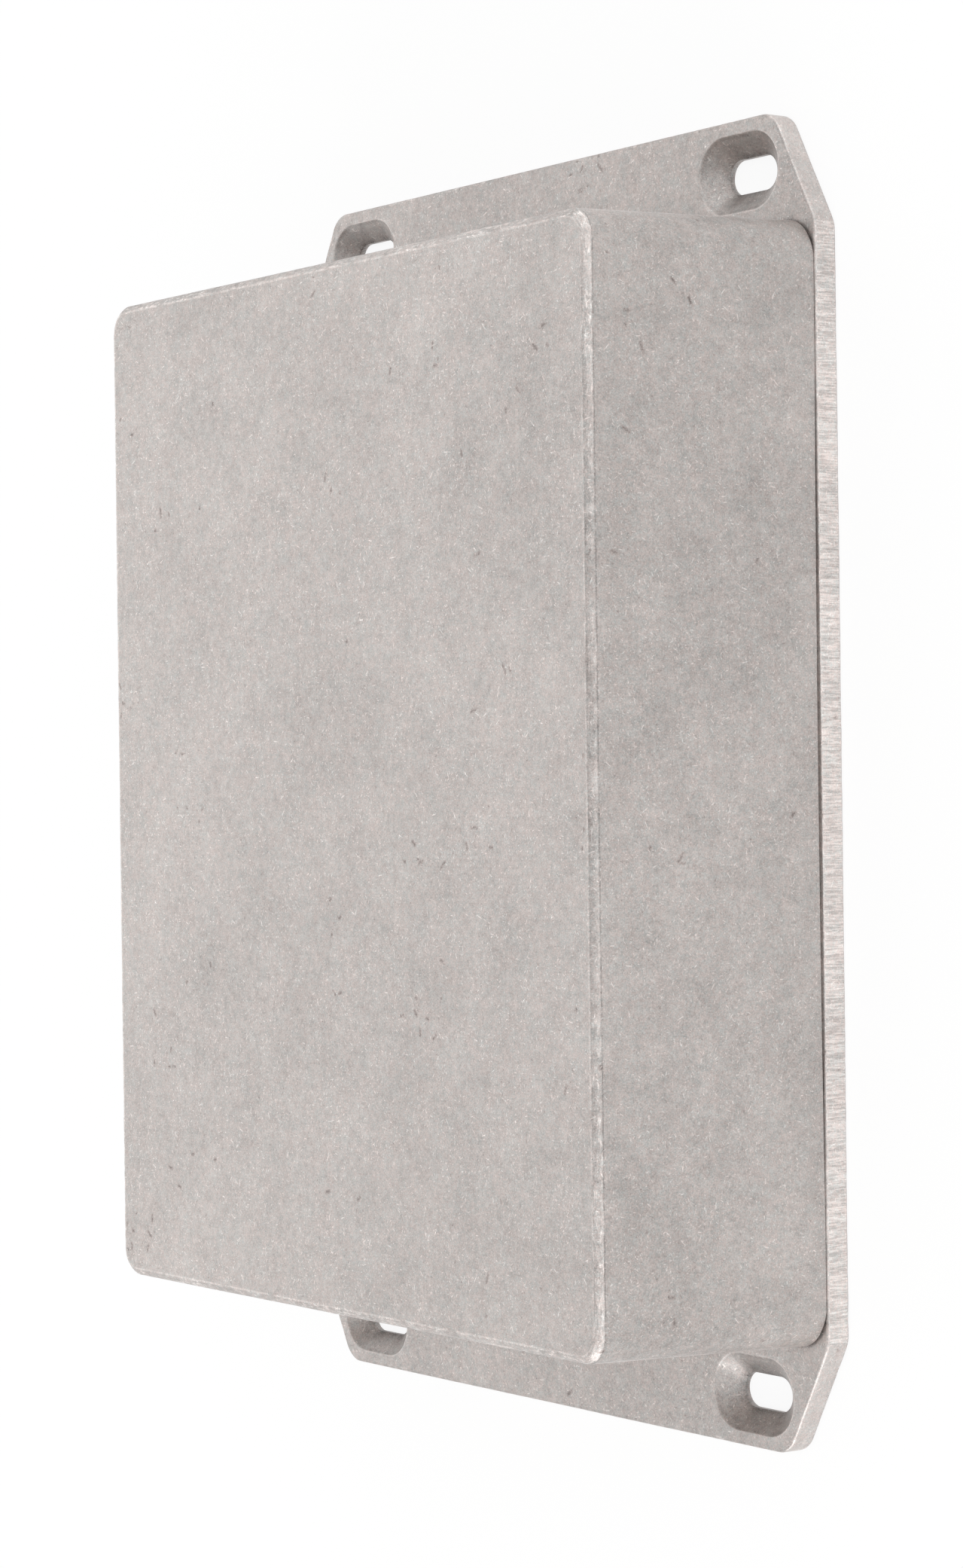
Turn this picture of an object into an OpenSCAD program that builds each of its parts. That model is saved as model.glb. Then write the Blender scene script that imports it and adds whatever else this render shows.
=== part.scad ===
// Die cast aluminium enclosure: a drafted, one-piece box closed by a flanged lid.
// It lies on its lid: Z = 0 is the lid's underside, X runs across and Y along the box.
// All lengths are in millimetres and all angles in degrees.

/* [Box casting] */
// Length of the box along Y, at its open end
box_l = 145; // [100:1:220]
// Width of the box along X, at its open end
box_w = 121; // [80:1:180]
// Height of the closed enclosure, lid included
total_h = 39; // [30:1:70]
// Thickness of the side walls
wall_t = 2.3; // [1.6:0.1:3]
// Thickness of the closed face
face_t = 2.5; // [1.6:0.1:5]
// Draft of the walls, measured from upright
draft = 1.6; // [0.5:0.1:2.5]
// Radius of the upright corners, at the open end
corner_r = 5; // [4:0.1:10]
// Radius of the outer edge round the closed face
edge_r = 1.2; // [0.3:0.1:2]
// Radius of the same edge inside the box
hollow_edge_r = 1.5; // [0.5:0.1:3]
// Bevel along the outside of the walls' foot
foot_bevel = 0.3; // [0.1:0.05:0.6]

/* [Corner pillars] */
// Distance of each lid screw from the two nearest sides of the box
screw_in = 6; // [5:0.1:10]
// Radius of the pillar round each screw hole
pillar_r = 4; // [3:0.1:6]
// Depth of the screw hole beyond the end of the screw
hole_run_out = 5; // [1:0.5:8]

/* [Flanged lid] */
// Thickness of the lid
lid_t = 3.5; // [3.2:0.1:4.5]
// How far the lid's long edges stand out past the box
lid_over = 0.35; // [0.1:0.05:2]
// How far each flange reaches past the end of the box
flange_reach = 14.5; // [13.5:0.1:25]
// How far short of the end of the box the flange's slanted sides begin
shoulder_back = 0.6; // [0:0.1:5]
// How far each slanted side draws in
slant_in = 8.35; // [2:0.05:12]
// Radius of the flange's outer corners
tab_r = 4; // [1:0.1:6]
// Radius where a slanted side meets the long edge
shoulder_r = 5; // [1:0.1:10]
// Bevel along the lid's upper and lower edges
lid_bevel = 0.25; // [0.1:0.05:0.6]

/* [Fixing slots] */
// Width of the straight throat of each slot
slot_w = 4.6; // [3:0.1:5.6]
// Length of the throat, end to end
slot_l = 10; // [7:0.1:12]
// Depth of the straight throat
throat_h = 0.8; // [0.3:0.1:2]
// How much the slot widens on every side, from the throat to its mouth
flare = 3; // [1:0.05:3.3]
// Distance of each slot's middle from the flange's corner, across the box
slot_in = 7.3; // [5:0.1:20]
// Distance of each slot's middle beyond the end of the box
slot_out = 7.5; // [6.5:0.1:8.4]

/* [Locating ribs] */
// Height of the ribs on the lid's inner face
rib_h = 1.5; // [0.8:0.1:4]
// Thickness of the ribs at their root
rib_w = 1.6; // [1:0.1:3]
// Slope of the ribs' flanks, measured from upright
rib_draft = 5; // [1:0.5:10]

/* [Lid screws] */
// Diameter of the thread
screw_d = 3.5; // [3:0.1:4]
// Length of the screw, head included
screw_l = 12; // [9:0.5:16]
// Diameter of the countersunk head
head_d = 6.8; // [6:0.1:7.6]
// Height of the straight rim of the head
head_rim = 0.2; // [0.1:0.05:0.4]
// How far the head lies below the lid's underside
head_sink = 0.1; // [0.05:0.05:0.4]
// Width across the cross recess
drive_span = 3.6; // [2.5:0.1:4.5]
// Thickness of the recess's four arms
drive_w = 0.85; // [0.5:0.05:1.2]
// Depth of the recess
drive_h = 1.3; // [0.6:0.1:1.6]

/* [Fits] */
// Play between the screw and its hole in the lid, on the radius
shank_play = 0.2; // [0.1:0.05:0.5]
// Play between the screw and its hole in the pillar, on the radius
thread_play = 0.05; // [0.02:0.01:0.1]
// Play between the screw's head and its seat, on the radius
seat_play = 0.05; // [0.02:0.01:0.1]
// Gap between the ribs and the inner faces of the walls
rib_gap = 0.4; // [0.2:0.05:1]
// Gap between the ends of the ribs and the pillars
rib_end_gap = 2; // [0.5:0.1:8]

/* [Hidden] */
CORNERS = [[1, 1], [-1, 1], [-1, -1], [1, -1]];

$fn = 64;
// Steps in each round edge
ROUND_STEPS = 8;
// How far a cutter runs past the face that it opens
past = 1;
// Smallest radius that is left at the narrow end of an inner corner
least_r = 0.4;
cast_grey = [0.74, 0.72, 0.71];
zinc = [0.66, 0.67, 0.68];

body_h = total_h - lid_t;
hollow_h = body_h - face_t;
hollow_corner_r = max(corner_r - wall_t, lean(hollow_h) + least_r);

screw_x = box_w / 2 - screw_in;
screw_y = box_l / 2 - screw_in;
cone_h = (head_d - screw_d) / 2;
screw_top = head_sink + screw_l;
hole_top = screw_top + hole_run_out;

lid_x = box_w / 2 + lid_over;
shoulder_y = box_l / 2 - shoulder_back;
tab_x = lid_x - slant_in;
tab_y = box_l / 2 + flange_reach;
slant = atan2(slant_in, tab_y - shoulder_y);
slot_x = tab_x - slot_in;
slot_y = box_l / 2 + slot_out;

// How far a drafted wall leans in over a height
function lean(h) = h * tan(draft);

// Half of a drafted section from its middle line out: a bevel at the foot, a wall that leans in
// from `reach` at Z = 0, and a round edge that touches the wall and the flat top
module drafted_half(reach, h, round_r, bevel, below) {
    r = min(round_r, 0.9 * (reach - lean(h)));
    arc_x = reach - lean(h) + r * tan(draft) - r / cos(draft);
    turn = (90 - draft) / ROUND_STEPS;
    polygon(concat(
        [[0, -below], [reach + lean(below) - bevel, -below],
            [reach + lean(below - bevel), bevel - below]],
        [for (i = [0:ROUND_STEPS]) let (a = draft + i * turn)
            [arc_x + r * cos(a), h - r + r * sin(a)]],
        [[0, h]]));
}

// A rounded, drafted block on Z = 0, built from two crossing bars and four quarter turns
module drafted_block(half_w, half_l, corner, h, round_r, bevel = 0, below = 0) {
    core_w = half_w - corner;
    core_l = half_l - corner;
    rotate([90, 0, 0]) linear_extrude(2 * core_l, center = true) for (side = [0, 1])
        mirror([side, 0]) drafted_half(half_w, h, round_r, bevel, below);
    rotate([90, 0, 90]) linear_extrude(2 * core_w, center = true) for (side = [0, 1])
        mirror([side, 0]) drafted_half(half_l, h, round_r, bevel, below);
    for (i = [0:3])
        translate([core_w * CORNERS[i][0], core_l * CORNERS[i][1], 0]) rotate([0, 0, 90 * i])
            rotate_extrude(angle = 90) drafted_half(corner, h, round_r, bevel, below);
}

// The four pillars, each a round post that two flats tie into its corner
module pillars() {
    for (c = CORNERS) scale([c[0], c[1], 1]) translate([screw_x, screw_y, lid_t])
        linear_extrude(body_h) {
            circle(pillar_r);
            translate([0, -pillar_r]) square([screw_in, screw_in + pillar_r]);
            translate([-pillar_r, 0]) square([screw_in + pillar_r, screw_in]);
        }
}

// The hollow of the box, open at the foot
module hollow() {
    difference() {
        translate([0, 0, lid_t]) drafted_block(box_w / 2 - wall_t, box_l / 2 - wall_t,
            hollow_corner_r, hollow_h, hollow_edge_r, below = past);
        pillars();
    }
}

// One blind screw hole with the cone that a drill leaves
module screw_hole() {
    r = screw_d / 2 + thread_play;
    translate([0, 0, lid_t - past]) cylinder(h = hole_top - lid_t + past, r = r);
    translate([0, 0, hole_top]) cylinder(h = r * tan(31), r1 = r, r2 = 0);
}

module box_body() {
    color(cast_grey) difference() {
        translate([0, 0, lid_t]) drafted_block(box_w / 2, box_l / 2, corner_r, body_h, edge_r,
            bevel = foot_bevel);
        hollow();
        for (c = CORNERS) translate([c[0] * screw_x, c[1] * screw_y, 0]) screw_hole();
    }
}

// A round disc with bevelled rims, one for each corner of the lid's outline
module lid_disc(r) {
    cylinder(h = lid_t, r = r - lid_bevel, $fn = 32);
    translate([0, 0, lid_bevel]) cylinder(h = lid_t - 2 * lid_bevel, r = r, $fn = 32);
}

// The plate of the lid: eight discs, two at each shoulder of the outline, drawn into one skin
module lid_plate() {
    hull() for (c = CORNERS) scale([c[0], c[1], 1]) {
        translate([lid_x - shoulder_r, shoulder_y - shoulder_r * tan(slant / 2), 0])
            lid_disc(shoulder_r);
        translate([tab_x - tab_r * tan(45 - slant / 2), tab_y - tab_r, 0]) lid_disc(tab_r);
    }
}

// Half of a slot's cross-section, with its straight throat at the foot and its flare above
module slot_half() {
    slope = flare / (lid_t - throat_h);
    polygon([[0, -past], [slot_w / 2, -past], [slot_w / 2, throat_h],
        [slot_w / 2 + flare + slope * past, lid_t + past], [0, lid_t + past]]);
}

// A countersunk slot along X: a straight run of the section, closed by a half turn at each end
module flared_slot() {
    run = slot_l - slot_w;
    rotate([90, 0, 90]) linear_extrude(run, center = true) for (side = [0, 1])
        mirror([side, 0]) slot_half();
    for (side = [0, 1]) mirror([side, 0, 0]) translate([run / 2, 0, 0])
        rotate([0, 0, -90]) rotate_extrude(angle = 180) slot_half();
}

// The seat of one lid screw, sunk into the underside, and its clearance hole
module screw_seat() {
    seat_r = head_d / 2 + seat_play;
    hole_r = screw_d / 2 + shank_play;
    rim_h = head_sink + head_rim;
    translate([0, 0, -past]) cylinder(h = rim_h + past, r = seat_r);
    translate([0, 0, rim_h]) cylinder(h = seat_r - hole_r, r1 = seat_r, r2 = hole_r);
    translate([0, 0, rim_h]) cylinder(h = lid_t - rim_h + past, r = hole_r);
}

// A rib of a given half length along Y, with its outer flank on X = 0
module rib(half_run) {
    slope = rib_h * tan(rib_draft);
    rotate([90, 0, 0]) linear_extrude(2 * half_run, center = true)
        polygon([[0, -past], [0, 0], [-slope, rib_h], [slope - rib_w, rib_h], [-rib_w, 0],
            [-rib_w, -past]]);
}

// Four ribs that drop inside the walls and place the lid, clear of the pillars
module locating_ribs() {
    inner = wall_t + rib_gap;
    stop = pillar_r + rib_end_gap;
    for (side = [0, 180]) rotate([0, 0, side]) translate([0, 0, lid_t]) {
        translate([box_w / 2 - inner, 0, 0]) rib(screw_y - stop);
        rotate([0, 0, 90]) translate([box_l / 2 - inner, 0, 0]) rib(screw_x - stop);
    }
}

module flanged_lid() {
    color(cast_grey) difference() {
        union() {
            lid_plate();
            locating_ribs();
        }
        for (c = CORNERS) {
            translate([c[0] * slot_x, c[1] * slot_y, 0]) flared_slot();
            translate([c[0] * screw_x, c[1] * screw_y, 0]) screw_seat();
        }
    }
}

// A countersunk screw, head down, with a cross recess in its head
module lid_screw() {
    rim_top = head_sink + head_rim;
    color(zinc) difference() {
        union() {
            translate([0, 0, head_sink]) cylinder(h = head_rim, r = head_d / 2);
            translate([0, 0, rim_top]) cylinder(h = cone_h, r1 = head_d / 2, r2 = screw_d / 2);
            translate([0, 0, rim_top]) cylinder(h = screw_top - rim_top, r = screw_d / 2);
        }
        for (turn = [45, 135]) rotate([0, 0, turn])
            translate([-drive_span / 2, -drive_w / 2, head_sink - past])
                cube([drive_span, drive_w, drive_h + past]);
    }
}

box_body();
flanged_lid();
for (i = [1:len(CORNERS)])
    translate([CORNERS[i - 1][0] * screw_x, CORNERS[i - 1][1] * screw_y, 0]) lid_screw();
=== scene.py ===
# The looks of a die cast aluminium enclosure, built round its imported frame.
# The sections follow the object as it is put together: the box casting, the flanged lid and its
# screws, and last the room that it is shown in. All lengths are in metres.
import math
import bmesh
import bpy
import numpy as np
from mathutils import Matrix, Vector
from mathutils.geometry import delaunay_2d_cdt


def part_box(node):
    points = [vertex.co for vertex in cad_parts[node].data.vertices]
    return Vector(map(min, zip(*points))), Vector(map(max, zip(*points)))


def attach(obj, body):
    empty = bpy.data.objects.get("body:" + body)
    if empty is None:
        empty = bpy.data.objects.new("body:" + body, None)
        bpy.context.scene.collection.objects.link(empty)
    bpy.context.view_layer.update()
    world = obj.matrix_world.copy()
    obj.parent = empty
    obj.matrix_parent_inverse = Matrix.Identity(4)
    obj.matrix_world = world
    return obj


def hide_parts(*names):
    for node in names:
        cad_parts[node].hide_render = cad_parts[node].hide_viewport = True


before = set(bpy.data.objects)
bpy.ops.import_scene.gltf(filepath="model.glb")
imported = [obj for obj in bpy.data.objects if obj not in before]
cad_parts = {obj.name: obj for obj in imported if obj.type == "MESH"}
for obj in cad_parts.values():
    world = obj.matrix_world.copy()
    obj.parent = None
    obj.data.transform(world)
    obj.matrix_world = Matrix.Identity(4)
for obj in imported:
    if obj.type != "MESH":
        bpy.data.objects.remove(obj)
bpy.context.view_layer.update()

MM = 0.001


# ---------------------------------------------------------------- the box casting
# One thin casting of aluminium, made in a steel die and then tumbled with stones, which rounds
# and burnishes its edges and leaves short nicks all over it. Walls lean in by the die's draft,
# and four pillars inside take the lid screws.
body_low, body_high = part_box("box_body")
FOOT_Z, TOP_Z = body_low.z, body_high.z
HALF_W, HALF_L = body_high.x, body_high.y
DRAFT = math.radians(1.6)
CORNER_R = 5.0 * MM
EDGE_R = 1.2 * MM
FOOT_BEVEL = 0.3 * MM
WALL = 2.3 * MM
FACE = 2.5 * MM
HOLLOW_EDGE_R = 1.5 * MM
PEENED, FLAT_HALF = 0.7, math.radians(30)
EDGE_STEPS = 12
SCREW_IN = 6.0 * MM
PILLAR_R = 4.0 * MM
SCREW_HOLE_R = 1.8 * MM
SCREW_HOLE_TOP = 17.1 * MM
DRILL_POINT = math.radians(31)
CORNERS = ((1, 1), (-1, 1), (-1, -1), (1, -1))
SCREW_X, SCREW_Y = HALF_W - SCREW_IN, HALF_L - SCREW_IN


def hills(points, size, seed):
    """Smooth random hills between 0 and 1: a random value at each corner of a cubic lattice of
    the given size, blended across every cell by a cubic ease."""
    place = np.asarray(points) / size + 4096.0
    cell = np.floor(place).astype(np.int64)
    part = place - cell
    part = part * part * (3.0 - 2.0 * part)
    total = np.zeros(place.shape[:-1])
    for corner in np.ndindex(2, 2, 2):
        at = cell + np.array(corner)
        mix = at[..., 0] * 73856093 ^ at[..., 1] * 19349663 ^ at[..., 2] * 83492791 ^ seed * 7919
        mix = ((mix ^ (mix >> 13)) * 1274126177) & 0x7FFFFFFF
        weight = np.prod(np.where(corner, part, 1.0 - part), axis=-1)
        total += weight * ((mix >> 7) % 4096) / 4095.0
    return total


def circle(x, y, radius, steps):
    """A closed anticlockwise circle: its points, outward normals and lengths."""
    angles = np.linspace(0.0, math.tau, steps + 1)
    normals = np.stack([np.cos(angles), np.sin(angles)], -1)
    normals[-1] = normals[0]
    return normals * radius + (x, y), normals, angles * radius


def outline(discs, step, arc_steps):
    """The closed line round a ring of discs (x, y, radius), taken anticlockwise: an arc on each
    disc and the common tangent to the next. Returns points, outward normals and lengths; the
    last point repeats the first."""
    discs = np.array(discs, float)
    after = np.roll(discs, -1, axis=0)
    run = after[:, :2] - discs[:, :2]
    gap = np.hypot(run[:, 0], run[:, 1])
    lead = np.arctan2(run[:, 1], run[:, 0]) - np.arccos((discs[:, 2] - after[:, 2]) / gap)
    points, normals = [], []
    for i in range(len(discs)):
        turn = (lead[i] - lead[i - 1] + 1e-6) % math.tau - 1e-6
        angles = lead[i - 1] + np.linspace(0.0, turn, arc_steps + 1)
        round_n = np.stack([np.cos(angles), np.sin(angles)], -1)
        start = discs[i, :2] + round_n[-1] * discs[i, 2]
        end = after[i, :2] + round_n[-1] * after[i, 2]
        count = max(int(np.hypot(*(end - start)) / step), 1)
        share = np.arange(1, count)[:, None] / count
        points += [discs[i, :2] + round_n * discs[i, 2], start + (end - start) * share]
        normals += [round_n, np.repeat(round_n[-1:], count - 1, 0)]
    points, normals = np.vstack(points), np.vstack(normals)
    points, normals = np.vstack([points, points[:1]]), np.vstack([normals, normals[:1]])
    lengths = np.r_[0.0, np.cumsum(np.hypot(*np.diff(points, axis=0).T))]
    return points, normals, lengths


def swept(path, profile):
    """A profile carried along a path: at each point of the path the profile's first number is
    laid off along the path's normal and its second is the height. Returns the grid of points
    and the profile's lengths."""
    points, normals, _ = path
    profile = np.array(profile, float)
    flat = points[:, None, :] + normals[:, None, :] * profile[None, :, :1]
    height = np.broadcast_to(profile[None, :, 1:], flat.shape[:2] + (1,))
    lengths = np.r_[0.0, np.cumsum(np.linalg.norm(np.diff(profile, axis=0), axis=1))]
    return np.concatenate([flat, height], -1), lengths


def arc(centre, radius, start, end, steps):
    """Points of an arc in a profile, between two angles in degrees."""
    angles = np.radians(np.linspace(start, end, steps + 1))
    return [(centre[0] + radius * math.cos(a), centre[1] + radius * math.sin(a)) for a in angles]


def inside(points, loops):
    """Which points lie inside an odd number of closed loops, by counting the crossings of a
    line drawn from each point towards +X."""
    odd = np.zeros(len(points), bool)
    for loop in loops:
        a, b = loop[:-1], loop[1:]
        rise = np.where(b[:, 1] == a[:, 1], 1.0, b[:, 1] - a[:, 1])
        for some in np.array_split(np.arange(len(points)), len(points) // 2000 + 1):
            x, y = points[some, 0][:, None], points[some, 1][:, None]
            spans = (a[:, 1] > y) != (b[:, 1] > y)
            cut = a[:, 0] + (y - a[:, 1]) * (b[:, 0] - a[:, 0]) / rise
            odd[some] ^= (np.sum(spans & (x < cut), axis=1) % 2).astype(bool)
    return odd


class Casting:
    """Collects the surfaces of one casting and closes them into one mesh."""

    def __init__(self):
        self.points, self.faces, self.flats, self.marks, self.total = [], [], [], [], 0

    def add(self, points, faces, flat, marks):
        """Keeps points (n, 3), faces (m, 3 or 4), each point's place on the flattened surface
        (n, 2) and its marks (n, 4): worn edge, trimmed edge, painted shade in recesses and where
        the lid meets the box's foot, and painted highlight (+) and shade (-) lines along creases."""
        self.points.append(points)
        self.faces.append(faces + self.total)
        self.flats.append(flat)
        self.marks.append(marks)
        self.total += len(points)

    def grid(self, points, along, across, worn=0.0, trimmed=0.0, deep=0.0, crease=0.0):
        """A grid of points as quads. `along` and `across` are the lengths that flatten it."""
        rows, columns = points.shape[:2]
        index = np.arange(rows * columns).reshape(rows, columns)
        quads = np.stack([index[:-1, :-1], index[1:, :-1], index[1:, 1:], index[:-1, 1:]], -1)
        flat = np.stack(np.broadcast_arrays(along[:, None], across[None, :]), -1)
        marks = np.broadcast_arrays(worn, trimmed, deep, crease, points[..., 0])[:4]
        self.add(points.reshape(-1, 3), quads.reshape(-1, 4), flat.reshape(-1, 2),
                 np.stack(marks, -1).reshape(-1, 4))

    def fill(self, loops, spacing, more=None, deep=None):
        """A flat face between closed loops of points (n, 3), cut into even triangles. `more` are
        points (n, 2) that it also passes through, and the last argument gives the painted shade of
        points."""
        edge = [loop[:, :2] for loop in loops]
        height = loops[0][:, 2].mean()
        low, high = edge[0].min(0), edge[0].max(0)
        mesh_x, mesh_y = np.meshgrid(np.arange(low[0] + spacing / 2, high[0], spacing),
                                     np.arange(low[1] + spacing / 2, high[1], spacing))
        mesh_x[::2] += spacing / 2
        inner = np.stack([mesh_x.ravel(), mesh_y.ravel()], -1)
        inner = inner[inside(inner, edge)]
        for loop in edge:
            near = [np.hypot(*(inner[some, None] - loop[None]).T).min(0) > 0.55 * spacing
                    for some in np.array_split(np.arange(len(inner)), 8)]
            inner = inner[np.concatenate(near)]
        if more is not None:
            clear = inside(more, edge)
            for loop in edge:
                clear &= np.hypot(*(more[:, None] - loop[None]).T).min(0) > 0.1 * MM
            inner = np.vstack([inner, more[clear]])
        solid = np.vstack([loop[:-1] for loop in loops]
                          + [np.column_stack([inner, np.full(len(inner), height)])])
        counts = [len(loop) - 1 for loop in edge]
        starts = np.r_[0, np.cumsum(counts)[:-1]]
        bars = [(first + i, first + (i + 1) % count)
                for first, count in zip(starts, counts) for i in range(count)]
        _, _, faces, source, _, _ = delaunay_2d_cdt(
            [Vector(p) for p in solid[:, :2] / MM], bars, [], 0, 1e-6)
        faces = np.array([s[0] for s in source])[np.array(faces)]
        a, b, c = (solid[faces[:, i], :2] for i in range(3))
        area = np.abs((b - a)[:, 0] * (c - a)[:, 1] - (b - a)[:, 1] * (c - a)[:, 0]) / 2
        faces = faces[inside((a + b + c) / 3, edge) & (area > 1e-5 * MM * MM)]
        marks = np.zeros((len(solid), 4))
        if deep is not None:
            marks[:, 2] = deep(solid)
        self.add(solid, faces, solid[:, :2], marks)

    def close(self, name, relief):
        """The finished piece: equal points are merged, the faces turned outwards, and each
        point sunk along its normal by what `relief` gives for the points and their wear."""
        corners = np.concatenate([f.ravel() for f in self.faces])
        sizes = np.concatenate([np.full(len(f), f.shape[1]) for f in self.faces])
        points, flats, marks = (np.vstack(a) for a in (self.points, self.flats, self.marks))
        mesh = bpy.data.meshes.new(name)
        mesh.vertices.add(len(points))
        mesh.vertices.foreach_set("co", points.astype(np.float32).ravel())
        mesh.loops.add(len(corners))
        mesh.loops.foreach_set("vertex_index", corners.astype(np.int32))
        mesh.polygons.add(len(sizes))
        mesh.polygons.foreach_set("loop_start", np.r_[0, np.cumsum(sizes)[:-1]].astype(np.int32))
        mesh.update(calc_edges=True)
        layer = mesh.uv_layers.new(name="surface")
        layer.data.foreach_set("uv", flats[corners].astype(np.float32).ravel())
        for i, mark in enumerate(("worn", "trimmed", "deep", "crease")):
            attribute = mesh.attributes.new(mark, "FLOAT", "POINT")
            attribute.data.foreach_set("value", marks[:, i].astype(np.float32))
        skin = bmesh.new()
        skin.from_mesh(mesh)
        bmesh.ops.remove_doubles(skin, verts=skin.verts, dist=0.002 * MM)
        bmesh.ops.recalc_face_normals(skin, faces=skin.faces)
        skin.to_mesh(mesh)
        skin.free()
        count = len(mesh.vertices)
        points, facing, worn = np.empty(count * 3), np.empty(count * 3), np.empty(count)
        mesh.vertices.foreach_get("co", points)
        mesh.vertex_normals.foreach_get("vector", facing)
        mesh.attributes["worn"].data.foreach_get("value", worn)
        points, facing = points.reshape(-1, 3), facing.reshape(-1, 3)
        points = points - facing * relief(points, worn)[:, None]
        mesh.vertices.foreach_set("co", points.astype(np.float32).ravel())
        mesh.shade_smooth()
        mesh.set_sharp_from_angle(angle=math.radians(32))
        piece = bpy.data.objects.new(name, mesh)
        bpy.context.scene.collection.objects.link(piece)
        return piece


def lean(height):
    """How far a drafted wall leans in over a height."""
    return height * math.tan(DRAFT)


def drafted_edge(height, radius, steps):
    """The top of a drafted wall, from the flat face down: an arc that touches the face and the
    wall, as (distance from the wall's foot line, height)."""
    middle = -lean(height) + radius * math.tan(DRAFT) - radius / math.cos(DRAFT)
    return arc((middle, height - radius), radius, 90.0, math.degrees(DRAFT), steps)


def cast_relief(points, worn):
    """How far a cast skin sinks: slow hills that sink a few hundredths, and dents in worn edges."""
    slow = 0.035 * hills(points, 17 * MM, 3) + 0.02 * hills(points, 5 * MM, 5)
    dents = 0.06 * hills(points, 2.1 * MM, 7) ** 2 + 0.07 * hills(points, 0.7 * MM, 11) ** 3
    return (slow + dents * worn) * MM


def peened(edge):
    """A round edge beaten towards a flat band: points between its ends move most of the way to
    the chord of its middle two thirds."""
    edge = np.array(edge)
    centre = np.array([edge[-1][0] - EDGE_R * math.cos(DRAFT), edge[0][1] - EDGE_R])
    angle = np.arctan2(edge[:, 1] - centre[1], edge[:, 0] - centre[0])
    off = angle - (math.pi / 2 + DRAFT) / 2
    chord = math.cos(FLAT_HALF) / np.cos(np.clip(off, -FLAT_HALF, FLAT_HALF))
    share = np.where(np.abs(off) < FLAT_HALF, 1.0 - PEENED * (1.0 - chord), 1.0)
    return (centre + (edge - centre) * share[:, None]).tolist()


box = Casting()
body_h = TOP_Z - FOOT_Z
foot = [(x * (HALF_W - CORNER_R), y * (HALF_L - CORNER_R), CORNER_R) for x, y in CORNERS]
around = outline(foot, 0.5 * MM, 16)
edge = peened(drafted_edge(body_h, EDGE_R, EDGE_STEPS))
shoulder = [(edge[0][0] - reach * MM, body_h) for reach in (0.8, 0.14)]
wall_z = np.r_[edge[-1][1] - 0.15 * MM, np.linspace(edge[-1][1], FOOT_BEVEL, 20)[1:]]
wall = [(-lean(z), z) for z in wall_z]
profile = np.array(shoulder + edge + wall + [(-FOOT_BEVEL, 0.0)]) + [0.0, FOOT_Z]
skin, down = swept(around, profile)
turned = np.abs(around[1][:, 1])
gape = np.clip(1.0 - (around[0][:, 1] / (0.75 * HALF_L)) ** 2, 0.0, 1.0)
gape = np.maximum(gape, np.clip(turned * 2.0, 0.0, 1.0))
skin[:, -2, 2] = FOOT_Z + FOOT_BEVEL * (0.1 + 0.9 * gape)
toward_end = np.clip(np.abs(around[0][:, 1]) / HALF_L * 2.0 - 0.9, 0.0, 1.0)
first, last = len(shoulder), len(shoulder) + EDGE_STEPS
on_edge = np.abs(down - down[(first + last) // 2]) < 0.85 * MM
worn_edge = on_edge[None, :] * (0.75 + 0.6 * toward_end[:, None])
# Painted highlight in a line where the edge band starts and painted shade in a line where it meets
# the wall; across the band, painted shade in the middle turning to painted highlight towards the
# ends; and a painted highlight line on the walls beside the end corners.
crease = np.zeros((len(around[0]), len(down)))
crease[:, first:first + 2], crease[:, last] = 1.0, -1.0
crease[:, first + 2:last] = -0.7 + 1.1 * toward_end[:, None]
crease[(turned > 0.93) & (turned < 0.999), last + 1:-2] = 0.6
box.grid(skin, around[2], down, worn=worn_edge, crease=crease)
box.fill([skin[:, 0]], 2.2 * MM)


def hollow_loop(inset):
    """The hollow's outline: along each wall and round the inner side of each pillar, with the
    walls set in by `inset` from where they stand at the foot."""
    wall_x, wall_y = HALF_W - WALL - inset, HALF_L - WALL - inset
    bend = np.array(arc((SCREW_X, SCREW_Y), PILLAR_R, 270.0, 180.0, 8))
    quarter = np.vstack([[wall_x, SCREW_Y - PILLAR_R], bend, [SCREW_X - PILLAR_R, wall_y]])
    loop = [quarter[::x * y] * (x, y) for x, y in CORNERS]
    return np.vstack(loop + [loop[0][:1]])


hollow_h = body_h - FACE
rows = [(0.0, 0.0)] + drafted_edge(hollow_h, HOLLOW_EDGE_R, 6)[::-1]
hollow = []
for x, z in rows:
    loop = hollow_loop(-x)
    hollow.append(np.column_stack([loop, np.full(len(loop), FOOT_Z + z)]))
hollow = np.stack(hollow, 1)
lengths = np.r_[0.0, np.cumsum(np.linalg.norm(np.diff(hollow[:, 0], axis=0), axis=1))]
box.grid(hollow, lengths, np.array([z for _, z in rows]))
box.fill([hollow[:, -1]], 8 * MM)
hole_cone = SCREW_HOLE_R * math.tan(DRILL_POINT)
hole_rims = []
for x, y in CORNERS:
    ring = circle(x * SCREW_X, y * SCREW_Y, SCREW_HOLE_R, 24)
    bore, depth = swept(ring, [(0.0, FOOT_Z), (0.0, SCREW_HOLE_TOP),
                               (-SCREW_HOLE_R, SCREW_HOLE_TOP + hole_cone)])
    box.grid(bore, ring[2], depth)
    hole_rims.append(bore[:, 0])
box.fill([skin[:, -1], hollow[:, 0]] + hole_rims, 6 * MM)


def box_relief(points, worn):
    """The cast relief, dying out towards the foot, which stays flat to seat on the lid."""
    return cast_relief(points, worn) * np.clip((points[:, 2] - FOOT_Z) / (0.6 * MM), 0.0, 1.0)


cast_box = box.close("cast_box", box_relief)


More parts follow.
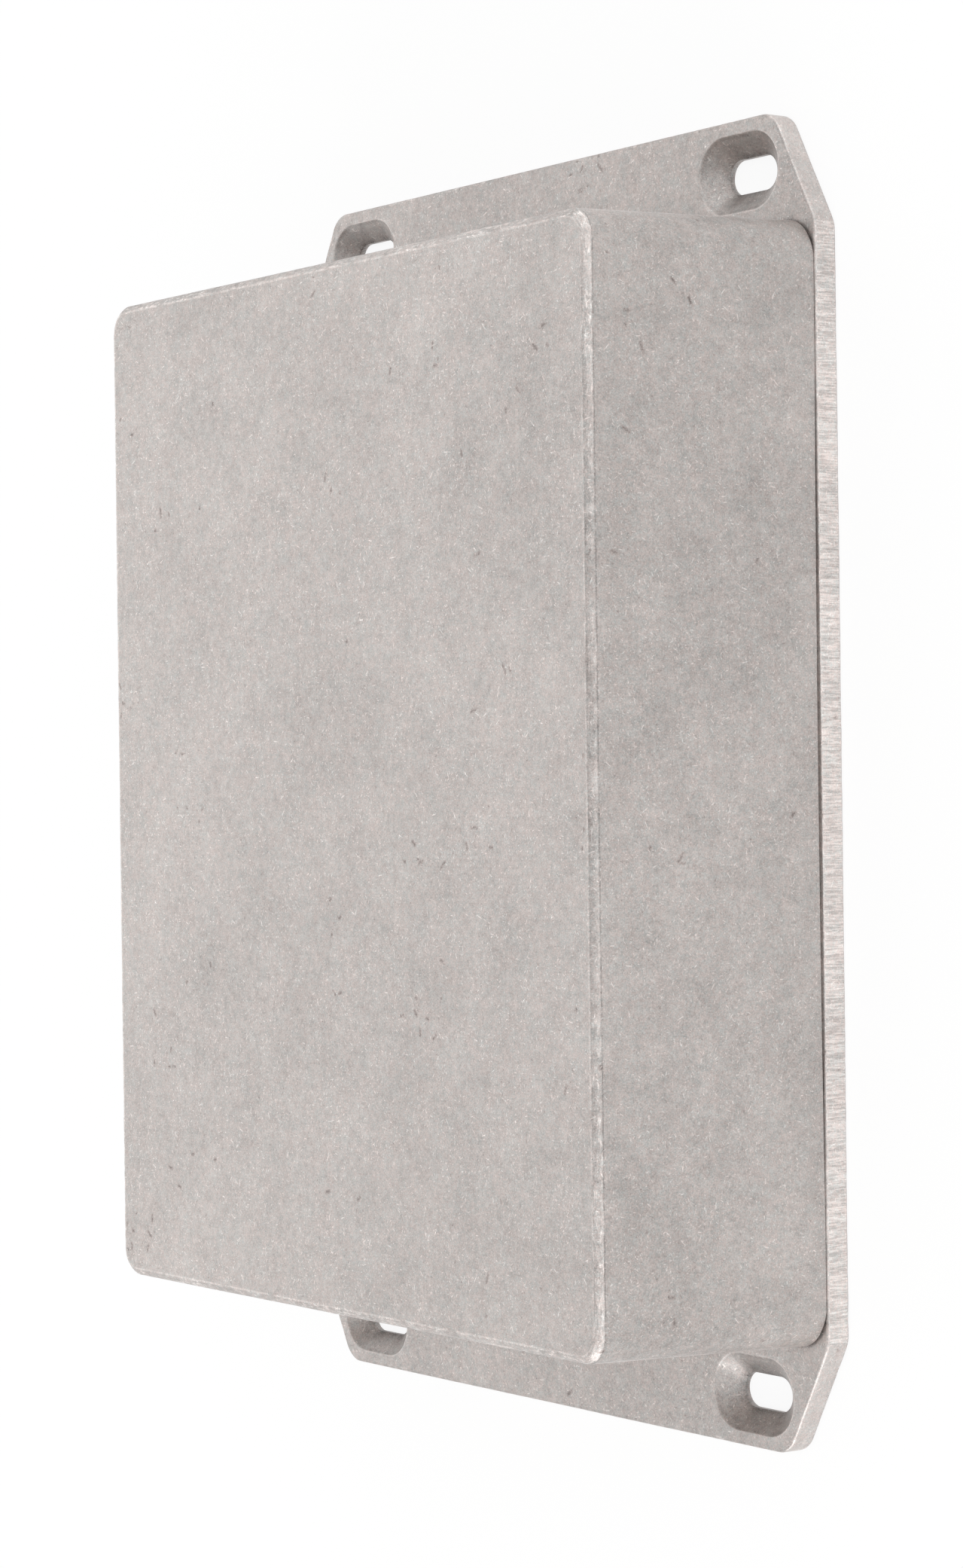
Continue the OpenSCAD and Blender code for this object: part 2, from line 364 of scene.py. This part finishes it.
class Wire:
    """One socket of a material's nodes. Arithmetic on it adds Math nodes."""

    def __init__(self, tree, socket=None):
        self.tree, self.socket = tree, socket

    def node(self, kind, settings, sockets, out=0):
        """Adds a node of a kind, sets its settings and then its sockets, and gives an output."""
        node = self.tree.nodes.new("ShaderNode" + kind)
        for name, value in settings.items():
            if name == "stops":
                ramp = node.color_ramp
                while len(ramp.elements) < len(value):
                    ramp.elements.new(1.0)
                for element, (place, tone) in zip(ramp.elements, value):
                    element.position, element.color = place, tone
            else:
                setattr(node, name, value)
        for name, value in sockets.items():
            if isinstance(value, Wire):
                self.tree.links.new(value.socket, node.inputs[name])
            else:
                node.inputs[name].default_value = value
        return Wire(self.tree, node.outputs[out])

    def other(self, out):
        """Another output of the same node."""
        return Wire(self.tree, self.socket.node.outputs[out])

    def math(self, operation, *values, clamp=False):
        """One Math node on this socket and the values."""
        sockets = dict(enumerate((self,) + values))
        return self.node("Math", {"operation": operation, "use_clamp": clamp}, sockets)

    def __add__(self, value):
        return self.math("ADD", value)

    def __sub__(self, value):
        return self.math("SUBTRACT", value)

    def __mul__(self, value):
        return self.math("MULTIPLY", value)

    def __truediv__(self, value):
        return self.math("DIVIDE", value)

    def __rsub__(self, value):
        return self.node("Math", {"operation": "SUBTRACT"}, {0: value, 1: self})

    __radd__, __rmul__ = __add__, __mul__

    def clip(self):
        """The value held between 0 and 1."""
        return self.math("ADD", 0.0, clamp=True)

    def step(self, low, high):
        """A smooth rise from 0 at `low` to 1 at `high`."""
        sockets = {"Value": self, "From Min": low, "From Max": high}
        return self.node("MapRange", {"interpolation_type": "SMOOTHSTEP"}, sockets)

    def mix(self, first, second, blend="MIX"):
        """A colour between two colours, with this value as the share of the second."""
        sockets = {0: self, 6: first, 7: second}
        return self.node("Mix", {"data_type": "RGBA", "blend_type": blend}, sockets, out=2)


def grain(coords, size, seed, detail=2.0, rough=0.5):
    """Noise about 0.5 whose grains are `size` metres, on object coordinates."""
    shift = (seed, seed * 0.37, 0.0)
    moved = coords.node("VectorMath", {"operation": "ADD"}, {0: coords, 1: shift})
    sockets = {"Vector": moved, "Scale": 1.0 / size, "Detail": detail, "Roughness": rough}
    return coords.node("TexNoise", {}, sockets)


def nicks(surface, cell, length, width, share, seed):
    """Short straight strokes on the flattened surface. Each cell of a Voronoi pattern may hold
    one, through its middle at a random angle: the stroke is where the distance along and
    across that line are both small. `share` is the share of the cells that hold one."""
    shift = (seed, seed * 0.7, 0.0)
    moved = surface.node("VectorMath", {"operation": "ADD"}, {0: surface, 1: shift})
    middle = surface.node("TexVoronoi", {"voronoi_dimensions": "2D", "feature": "F1"},
                          {"Vector": moved, "Scale": 1.0 / cell}, out="Position")
    luck = surface.node("SeparateColor", {}, {0: middle.other("Color")})
    offset = surface.node("VectorMath", {"operation": "SUBTRACT"}, {0: moved, 1: middle})
    x = surface.node("SeparateXYZ", {}, {0: offset})
    y = x.other("Y")
    angle = luck * math.tau
    cos, sin = angle.math("COSINE"), angle.math("SINE")
    along = (x * cos + y * sin).math("ABSOLUTE")
    across = (y * cos - x * sin).math("ABSOLUTE")
    reach = (luck.other("Blue") * 0.7 + 0.3) * (length / 2)
    stroke = (1.0 - across / (width / 2)).clip() * (2.0 - 2.0 * along / reach).clip()
    return stroke * luck.other("Green").math("LESS_THAN", share)


def cast_finish(name, tone):
    """Tumbled die cast aluminium of a given tone: cloudy and finely grained, with short bright
    nicks lying every way, a few dark pits and scores, and burnished edges. Its colour also carries
    painted shade in recesses and where the lid meets the box's foot, and painted highlight and
    shade lines along edges and creases."""
    material = bpy.data.materials.new(name)
    material.use_nodes = True
    tree = material.node_tree
    shader = tree.nodes["Principled BSDF"]
    shader.inputs["Metallic"].default_value = 1.0
    start = Wire(tree)
    coords = start.node("TexCoord", {}, {}, out="Object")
    surface = start.node("UVMap", {"uv_map": "surface"}, {})
    worn, trimmed, deep, crease = (start.node("Attribute", {"attribute_name": mark}, {}, out="Fac")
                                   for mark in ("worn", "trimmed", "deep", "crease"))
    clouds = grain(coords, 34 * MM, 0.3) - 0.5
    patches = grain(coords, 8 * MM, 1.1, 4.0, 0.6) - 0.5
    mottle = grain(coords, 1.7 * MM, 2.7, 3.0, 0.65) - 0.5
    flakes = grain(coords, 0.62 * MM, 4.4, 2.0, 0.6) - 0.5
    fine = grain(coords, 0.2 * MM, 3.9, 2.0, 0.7) - 0.5
    tint = grain(coords, 2.0 * MM, 5.2, 4.0, 0.8) + grain(coords, 0.28 * MM, 5.9, 1.0) - 1.0
    crowd = grain(coords, 4.5 * MM, 8.3, 3.0, 0.65).step(0.32, 0.66)
    light = (nicks(surface, 0.5 * MM, 0.34 * MM, 0.18 * MM, crowd * 0.4 + 0.08, 0.013) * 0.6
             + nicks(surface, 0.9 * MM, 0.7 * MM, 0.17 * MM, crowd * 0.55 + 0.05, 0.071)
             + nicks(surface, 2.6 * MM, 1.25 * MM, 0.19 * MM, crowd * 0.4 + 0.04, 0.143) * 1.1)
    smears = grain(coords, 12 * MM, 6.1, 2.0).step(0.57, 0.7)
    scores = (nicks(surface, 0.8 * MM, 0.6 * MM, 0.26 * MM, smears * 0.3 + 0.08, 0.217) * 0.5
              + nicks(surface, 2.5 * MM, 2.2 * MM, 0.75 * MM, smears * 0.3 + 0.004, 0.311)
              * grain(coords, 0.35 * MM, 6.9, 2.0).step(0.25, 0.55))
    along = start.node("VectorMath", {"operation": "MULTIPLY"}, {0: surface, 1: (0.3, 1.0, 0.0)})
    beaten = start.node("TexNoise", {}, {"Vector": along, "Scale": 1.0 / (0.45 * MM), "Detail": 3.0,
                                         "Roughness": 0.7})
    flecks = worn * beaten.step(0.5, 0.72) * grain(coords, 7 * MM, 7.3, 3.0, 0.6).step(0.35, 0.65)
    # Painted highlight on ridge lines and painted shade on sunk lines; the sunk lines are bumped in
    # as well.
    ridge = crease.clip() * grain(coords, 3.0 * MM, 9.1, 2.0).step(0.3, 0.55)
    groove_and_shade = (0.0 - crease).clip() * grain(coords, 2.5 * MM, 9.9, 2.0).step(0.3, 0.6)
    flat_uv = start.node("VectorMath", {"operation": "MULTIPLY"}, {0: surface, 1: (1.0, 0.07, 0.0)})
    fine_cuts = start.node("TexNoise", {}, {"Vector": flat_uv, "Scale": 1.0 / (0.24 * MM),
                                            "Detail": 2.0, "Roughness": 0.7}).step(0.45, 0.55)
    wide_cuts = start.node("TexNoise", {}, {"Vector": flat_uv, "Scale": 1.0 / (1.1 * MM),
                                            "Detail": 3.0, "Roughness": 0.7}).step(0.42, 0.58)
    streaks = fine_cuts * 0.65 + wide_cuts * 0.35 - 0.5
    cut = trimmed.step(0.75, 0.95)
    # The tone: the metal's own clouds, grain, nicks, scores, wear and trimmed streaks, darkened by
    # painted shade in recesses and lightened and darkened by painted highlight and shade lines.
    level = (1.0 + clouds * 0.25 + patches * 0.36 + mottle * 0.42 + flakes * 0.38 + fine * 1.0
             + light * 0.5 - scores * 0.4 + flecks * 0.5 + worn * (beaten - 0.55) * 0.5
             - deep * 0.14 + ridge * 0.26 - groove_and_shade * 0.3 + trimmed * 0.5 + cut * streaks * 0.6)
    warm = (tint + scores * 0.5 + 0.03).step(-0.3, 0.3).mix(
        (tone[0] * 0.955, tone[1] * 1.01, tone[2] * 1.015, 1.0),
        (tone[0] * 1.04, tone[1] * 0.99, tone[2] * 0.975, 1.0))
    grey = start.node("CombineColor", {}, {0: level, 1: level, 2: level})
    colour = start.node("Mix", {"data_type": "RGBA", "blend_type": "MULTIPLY"},
                        {0: 1.0, 6: warm, 7: grey}, out=2)
    rough = (0.5 + patches * 0.12 + fine * 0.2 + scores * 0.12 - light * 0.12 - flecks * 0.12
             - trimmed * 0.06)
    height = (fine * 0.012 + mottle * 0.02 - light * 0.01 - scores * 0.03 + worn * beaten * 0.04
              - groove_and_shade * 0.03 + cut * streaks * 0.03) * MM
    normal = start.node("Bump", {}, {"Strength": 1.0, "Distance": 1.0, "Height": height})
    tree.links.new(colour.socket, shader.inputs["Base Color"])
    tree.links.new(rough.socket, shader.inputs["Roughness"])
    tree.links.new(normal.socket, shader.inputs["Normal"])
    return material


cast_box.data.materials.append(cast_finish("cast_aluminium_box", (0.495, 0.462, 0.446)))
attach(cast_box, "root")
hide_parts("box_body")


# ---------------------------------------------------------------- the flanged lid
# A plate cast in the same metal, with a flange at each end and four flared fixing slots. Its
# long edges were trimmed after casting, which left fine marks across them. Four ribs drop
# inside the walls, and four seats in the underside take the screws.
lid_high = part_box("flanged_lid")[1]
LID_T = FOOT_Z
LID_X = lid_high.x
TAB_Y = lid_high.y
SHOULDER_Y = HALF_L - 0.6 * MM
SLANT_IN = 8.35 * MM
TAB_X = LID_X - SLANT_IN
SLANT = math.atan2(SLANT_IN, TAB_Y - SHOULDER_Y)
TAB_R = 4.0 * MM
SHOULDER_R = 5.0 * MM
THROAT_W = 4.6 * MM
THROAT_L = 9.8 * MM
THROAT_H = 0.8 * MM
FLARE, END_FLARE = 2.85 * MM, 3.45 * MM
SLOT_X = TAB_X - 7.3 * MM
SLOT_Y = HALF_L + 7.5 * MM
SEAT_R, SEAT_RIM, BORE_R = 3.45 * MM, 0.3 * MM, 1.95 * MM
RIB_W, RIB_H = 1.6 * MM, 1.5 * MM
RIB_GAP, RIB_END, RIB_DRAFT = 0.4 * MM, 2.0 * MM, math.radians(5)

shoulder_disc = (LID_X - SHOULDER_R, SHOULDER_Y - SHOULDER_R * math.tan(SLANT / 2), SHOULDER_R)
tab_disc = (TAB_X - TAB_R * math.tan(math.pi / 4 - SLANT / 2), TAB_Y - TAB_R, TAB_R)
discs = [(x * d[0], y * d[1], d[2]) for x, y in CORNERS
         for d in (shoulder_disc, tab_disc)[::x * y]]
lid = Casting()
rim_path = outline(discs, 0.3 * MM, 12)


def rim_profile(reach):
    """The rim from the top face over a round edge of a given reach, down and in again."""
    fall = [(-reach - 0.2 * MM, 0.0), (-reach - 0.1 * MM, 0.0)]
    fall += [(reach * (math.cos(a) - 1.0), reach * (1.0 - math.sin(a)))
             for a in np.radians(np.linspace(90.0, 0.0, 6))]
    upper = [(x, LID_T - z) for x, z in fall]
    lower = [(x, z) for x, z in fall[::-1]]
    middle = [(0.0, z) for z in np.linspace(upper[-1][1], lower[0][1], 6)[1:-1]]
    return upper + middle + lower


TRIMMED_EDGE, RAW_EDGE = 0.25 * MM, 0.4 * MM
sharp, down = swept(rim_path, rim_profile(TRIMMED_EDGE))
soft, _ = swept(rim_path, rim_profile(RAW_EDGE))
raw = np.clip((np.abs(rim_path[0][:, 1]) - SHOULDER_Y) / (1.5 * MM) + 0.6, 0.0, 1.0)
near_end = np.clip(np.abs(rim_path[0][:, 1]) / SHOULDER_Y - 0.45, 0.0, 0.35) / 0.35
raw = np.maximum(raw, 0.5 * near_end)
rim = sharp + (soft - sharp) * raw[:, None, None]
straight = np.where(np.abs(rim_path[0][:, 1]) < SHOULDER_Y, 1.0, 0.6)[:, None]
to_edge = np.minimum(down, down[-1] - down)[None, :]
ROUND_MIDDLE, ROUND_LOW = 4, 5
to_bevel = np.abs(to_edge - down[ROUND_MIDDLE])
on_rim = np.clip((to_edge - down[ROUND_LOW]) / (0.15 * MM), 0.0, 1.0)
# Painted highlight lines along the rim's round edge, and painted highlight on the top edge towards
# the ends of the straight sides.
rim_painted_highlight = np.zeros((len(rim), len(down)))
rim_painted_highlight[:, ROUND_LOW:ROUND_LOW + 3] = np.where(straight < 1.0, (0.4, 0.7, 0.1), 0.2)
rim_painted_highlight[:, :ROUND_LOW] += (near_end * (straight[:, 0] == 1.0))[:, None]


def contact(points):
    """Painted shade on the lid in the sharp angle round the ends of the box's foot: it falls off as
    exp(-(d / 0.3 mm)^2), where d is the distance out from the foot's rounded rectangle."""
    x = np.abs(points[..., 0]) - (HALF_W - CORNER_R)
    y = np.abs(points[..., 1]) - (HALF_L - CORNER_R)
    away = (np.hypot(np.maximum(x, 0.0), np.maximum(y, 0.0)) + np.minimum(np.maximum(x, y), 0.0)
            - CORNER_R)
    fall = np.exp(-(np.maximum(away, 0.0) / (0.3 * MM)) ** 2)
    return 3.0 * np.clip(y / (2 * MM), 0.0, 1.0) * fall


# The rim's top carries the painted shade round the ends of the box's foot.
on_top = rim[..., 2] > LID_T - 0.1 * MM
lid.grid(rim, rim_path[2], down, deep=contact(rim) * on_top, crease=rim_painted_highlight,
         worn=np.clip(1.1 - to_bevel / (0.4 * MM), 0.0, 1.0), trimmed=straight * on_rim)
top_loops, under_loops = [rim[:, 0]], [rim[:, -1]]
slot_run = (THROAT_L - THROAT_W) / 2
flare_rows = [(FLARE * t, THROAT_H + (LID_T - THROAT_H) * t)
              for t in np.r_[np.linspace(0, 0.9, 7), 0.95]]
slot_profile = [(0.05 * MM, 0.0), (0.0, 0.05 * MM), (0.0, THROAT_H * 0.5)] + flare_rows + [
    (FLARE - 0.03 * MM, LID_T - 0.04 * MM), (FLARE + 0.07 * MM, LID_T), (FLARE + 0.2 * MM, LID_T)]
for x, y in CORNERS:
    ends = [(x * SLOT_X + side * slot_run, y * SLOT_Y, THROAT_W / 2) for side in (-1, 1)]
    around = outline(ends, 0.6 * MM, 24)
    slot, up = swept(around, slot_profile)
    stretch = (END_FLARE - FLARE) * np.array([p[0] for p in slot_profile]) / FLARE
    slot[..., 0] += np.tanh((slot[..., 0] - x * SLOT_X) / slot_run) * stretch
    # Painted shade growing down into the slot; painted shade lines high in the throat and at the
    # top of the flare, and a painted highlight line round the mouth's edge.
    deep = np.clip((LID_T - slot[..., 2]) / (1.2 * MM), 0.0, 1.0)
    lip_light_and_shade = np.zeros(len(up))
    lip_light_and_shade[2:5] = -0.7, -1.0, -0.4
    lip_light_and_shade[-5:-1] = -0.6, -0.3, 0.6, 0.6
    lid.grid(slot, around[2], up, deep=deep, crease=lip_light_and_shade[None, :])
    under_loops.append(slot[:, 0])
    top_loops.append(slot[:, -1])
    ring = circle(x * SCREW_X, y * SCREW_Y, BORE_R, 48)
    sink = SEAT_R - BORE_R
    seat, up = swept(ring, [(sink, 0.0), (sink, SEAT_RIM), (0.0, SEAT_RIM + sink), (0.0, LID_T)])
    # The screw seats carry half-strength painted shade.
    lid.grid(seat, ring[2], up, deep=0.5)
    under_loops.append(seat[:, 0])
    top_loops.append(seat[:, -1])

rib_slope = RIB_H * math.tan(RIB_DRAFT)
root_r = 0.25 * MM
for turned in (0, 1):
    for side in (-1, 1):
        far = (HALF_L if turned else HALF_W) - WALL - RIB_GAP
        half_run = (SCREW_X if turned else SCREW_Y) - PILLAR_R - RIB_END
        out, into = (far - root_r) * side, (far - RIB_W + root_r) * side
        low_x, high_x, run = min(out, into), max(out, into), half_run - root_r
        ends = [(high_x, run), (low_x, run), (low_x, -run), (high_x, -run)]
        if turned:
            ends = [(run, high_x), (-run, high_x), (-run, low_x), (run, low_x)]
        around = outline([(a, b, root_r) for a, b in ends], 4 * MM, 5)
        rib, down = swept(around, [(-rib_slope - 0.06 * MM, LID_T + RIB_H),
                                   (-rib_slope, LID_T + RIB_H - 0.08 * MM), (0.0, LID_T)])
        lid.grid(rib, around[2], down)
        lid.fill([rib[:, 0]], 4 * MM)
        top_loops.append(rib[:, -1])
# Rings of points round the ends of the box's foot, so that the lid's top can carry the painted
# shade there.
foot_points, foot_normals, _ = outline(foot, 0.8 * MM, 16)
at_ends = np.abs(foot_points[:, 1]) > HALF_L - CORNER_R
rings = [(foot_points + foot_normals * reach * MM)[at_ends][:-1]
         for reach in (-0.3, 0, 0.15, 0.35, 0.8)]
lid.fill(top_loops, 2.4 * MM, np.vstack(rings), contact)
lid.fill(under_loops, 2.4 * MM)


def lid_relief(points, worn):
    """The cast relief, left out under the box's foot so that the two stay flat together."""
    under_box = (np.abs(points[:, 0]) < HALF_W) & (np.abs(points[:, 1]) < HALF_L)
    seated = under_box & (points[:, 2] > LID_T - 0.01 * MM)
    return np.where(seated, 0.0, cast_relief(points, 0.5 * worn))


cast_lid = lid.close("cast_lid", lid_relief)
cast_lid.data.materials.append(cast_finish("cast_aluminium_lid", (0.48, 0.447, 0.432)))
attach(cast_lid, "root")
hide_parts("flanged_lid")


# ---------------------------------------------------------------- the lid screws
# Four countersunk steel screws, cold headed with a cross recess, thread rolled and zinc
# plated. They pass up through the lid into the pillars, and their heads lie in its underside.
HEAD_R, SHANK_R = 3.4 * MM, 1.75 * MM
HEAD_SINK, HEAD_RIM, SCREW_TIP = 0.1 * MM, 0.2 * MM, 12.1 * MM
RECESS_SPAN, RECESS_W, RECESS_H = 1.8 * MM, 0.425 * MM, 1.3 * MM
PITCH, THREAD_H = 1.27 * MM, 0.42 * MM


def screw_surface(turns):
    """The screw as one polar grid. Each column is a profile from the middle of the recess's
    floor out over the head, up the cone and along the shank, where the radius is cut in by a
    ridge that climbs one pitch for each turn."""
    beside = np.abs(turns % (math.pi / 2) - math.pi / 4)
    cross = np.minimum(RECESS_SPAN / np.cos(beside), RECESS_W / np.maximum(np.sin(beside), 1e-3))
    cross = np.minimum(cross, RECESS_SPAN)
    floor_z = HEAD_SINK + RECESS_H
    columns = [(0.0 * cross, floor_z + 0.25 * MM), (0.3 * cross, floor_z),
               (0.72 * cross, floor_z - 0.1 * MM),
               (0.93 * cross, HEAD_SINK + 0.25 * MM), (cross, HEAD_SINK + 0.04 * MM),
               (cross + 0.05 * MM, HEAD_SINK)]
    whole = np.ones_like(turns)
    for radius in np.linspace(2.2, 3.2, 4):
        columns.append((radius * MM * whole, HEAD_SINK))
    columns += [((HEAD_R - 0.05 * MM) * whole, HEAD_SINK + 0.01 * MM),
                (HEAD_R * whole, HEAD_SINK + 0.06 * MM),
                (HEAD_R * whole, HEAD_SINK + HEAD_RIM)]
    neck = HEAD_SINK + HEAD_RIM + HEAD_R - SHANK_R
    columns.append((SHANK_R * whole, neck))
    for z in np.arange(neck + 0.3 * MM, SCREW_TIP - 0.8 * MM, PITCH / 8):
        wave = np.abs(((z / PITCH - turns / math.tau) % 1.0) * 2.0 - 1.0)
        fade = min((z - neck) / PITCH, 1.0)
        columns.append((SHANK_R - THREAD_H * fade * np.clip(wave * 1.5 - 0.1, 0.0, 1.0), z))
    columns += [((SHANK_R - THREAD_H) * whole, SCREW_TIP - 0.5 * MM),
                ((SHANK_R - 0.9 * MM) * whole, SCREW_TIP), (0.0 * whole, SCREW_TIP)]
    radius = np.stack([c[0] for c in columns], 1)
    height = np.stack([c[1] * whole for c in columns], 1)
    return np.stack([radius * np.cos(turns)[:, None], radius * np.sin(turns)[:, None], height], -1)


def plated_finish():
    """Bright zinc on steel: a fine grain, and soft stains."""
    material = bpy.data.materials.new("zinc_plate")
    material.use_nodes = True
    tree = material.node_tree
    shader = tree.nodes["Principled BSDF"]
    shader.inputs["Metallic"].default_value = 1.0
    start = Wire(tree)
    coords = start.node("TexCoord", {}, {}, out="Object")
    stain = grain(coords, 1.4 * MM, 0.9, 3.0, 0.6)
    fine = grain(coords, 0.18 * MM, 1.7, 2.0) - 0.5
    colour = stain.step(0.3, 0.7).mix((0.5, 0.52, 0.55, 1.0), (0.66, 0.66, 0.64, 1.0))
    tree.links.new(colour.socket, shader.inputs["Base Color"])
    tree.links.new((0.3 + stain * 0.12 + fine * 0.12).socket, shader.inputs["Roughness"])
    height = fine * (0.012 * MM)
    normal = start.node("Bump", {}, {"Strength": 1.0, "Distance": 1.0, "Height": height})
    tree.links.new(normal.socket, shader.inputs["Normal"])
    return material


zinc = plated_finish()
turns = np.linspace(0.0, math.tau, 97)
for number, (x, y) in enumerate(CORNERS, 1):
    form = screw_surface(turns)
    form[-1] = form[0]
    screw = Casting()
    screw.grid(form + np.array([x * SCREW_X, y * SCREW_Y, 0.0]), turns * SHANK_R,
               np.arange(form.shape[1]) * 0.3 * MM)
    lid_screw = screw.close("plated_screw_" + str(number), lambda points, worn: 0.0 * worn)
    lid_screw.data.materials.append(zinc)
    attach(lid_screw, "root")
    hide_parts("lid_screw_" + str(number))


# ---------------------------------------------------------------- the room
# A wide white floor under soft white light from all round, a low panel beyond the box that the
# closed face mirrors, a panel beyond each end and one before the long side. The camera looks
# down on the long side, turned so that the box stands on end in the frame.
EYE = Vector((0.43612, 0.00090, 0.31589))
AIM = Vector((0.00829, 0.00039, 0.020))
ROLL = math.radians(-90.757)
LENS, FRAME_HEIGHT = 87.48, 36.0
FLOOR_HALF = 6.0


def lit_ray(start):
    """1 for rays that come from the camera, a mirror or glass, and 0 for all others."""
    path = start.node("LightPath", {}, {}, out="Is Camera Ray")
    glossy = path.math("MAXIMUM", path.other("Is Glossy Ray"))
    return glossy.math("MAXIMUM", path.other("Is Transmission Ray"))


floor_mesh = bpy.data.meshes.new("floor")
floor_mesh.from_pydata([(x * FLOOR_HALF, y * FLOOR_HALF, -0.02 * MM) for x, y in CORNERS], [],
                       [(0, 1, 2, 3)])
floor = bpy.data.objects.new("floor", floor_mesh)
bpy.context.scene.collection.objects.link(floor)
white = bpy.data.materials.new("white_floor")
white.use_nodes = True
tree = white.node_tree
tree.nodes.remove(tree.nodes["Principled BSDF"])
start = Wire(tree)
matt = start.node("BsdfDiffuse", {}, {"Color": (0.86, 0.86, 0.86, 1.0)})
glow = start.node("Emission", {}, {"Color": (1.0, 1.0, 1.0, 1.0), "Strength": 1.0})
share = lit_ray(start) * 0.88
mixed = start.node("MixShader", {}, {0: share, 1: matt, 2: glow})
tree.links.new(mixed.socket, tree.nodes["Material Output"].inputs["Surface"])
floor_mesh.materials.append(white)

world = bpy.data.worlds.new("room")
bpy.context.scene.world = world
world.use_nodes = True
tree = world.node_tree
start = Wire(tree)
backdrop = tree.nodes["Background"]
backdrop.inputs["Color"].default_value = (1.0, 1.0, 1.0, 1.0)
strength = start.node("LightPath", {}, {}, out="Is Camera Ray") * 0.1 + 0.9
tree.links.new(strength.socket, backdrop.inputs["Strength"])


def panel(name, place, width, height, power):
    """A soft rectangular lamp that faces the middle of the box."""
    lamp = bpy.data.lights.new(name, "AREA")
    lamp.shape, lamp.size, lamp.size_y, lamp.energy = "RECTANGLE", width, height, power
    piece = bpy.data.objects.new(name, lamp)
    piece.location = place
    piece.rotation_euler = (AIM - Vector(place)).to_track_quat("-Z", "Y").to_euler()
    bpy.context.scene.collection.objects.link(piece)


panel("low_panel", (-1.3, 0.1, 0.42), 1.6, 0.5, 2.8)
panel("near_end_panel", (0.3, -1.4, 0.5), 1.4, 0.8, 11.0)
panel("far_end_panel", (0.3, 1.4, 0.5), 1.4, 0.8, 4.5)
panel("front_panel", (1.7, 0.0, 0.9), 2.6, 1.4, 11.0)

camera_data = bpy.data.cameras.new("camera")
camera_data.lens, camera_data.sensor_fit = LENS, "VERTICAL"
camera_data.sensor_height = FRAME_HEIGHT
camera_data.clip_start = 0.01
camera = bpy.data.objects.new("camera", camera_data)
camera.location = EYE
camera.rotation_euler = ((AIM - EYE).to_track_quat("-Z", "Y")
                         @ Matrix.Rotation(ROLL, 3, "Z").to_quaternion()).to_euler()
bpy.context.scene.collection.objects.link(camera)
bpy.context.scene.camera = camera
bpy.context.scene.view_settings.view_transform = "Standard"
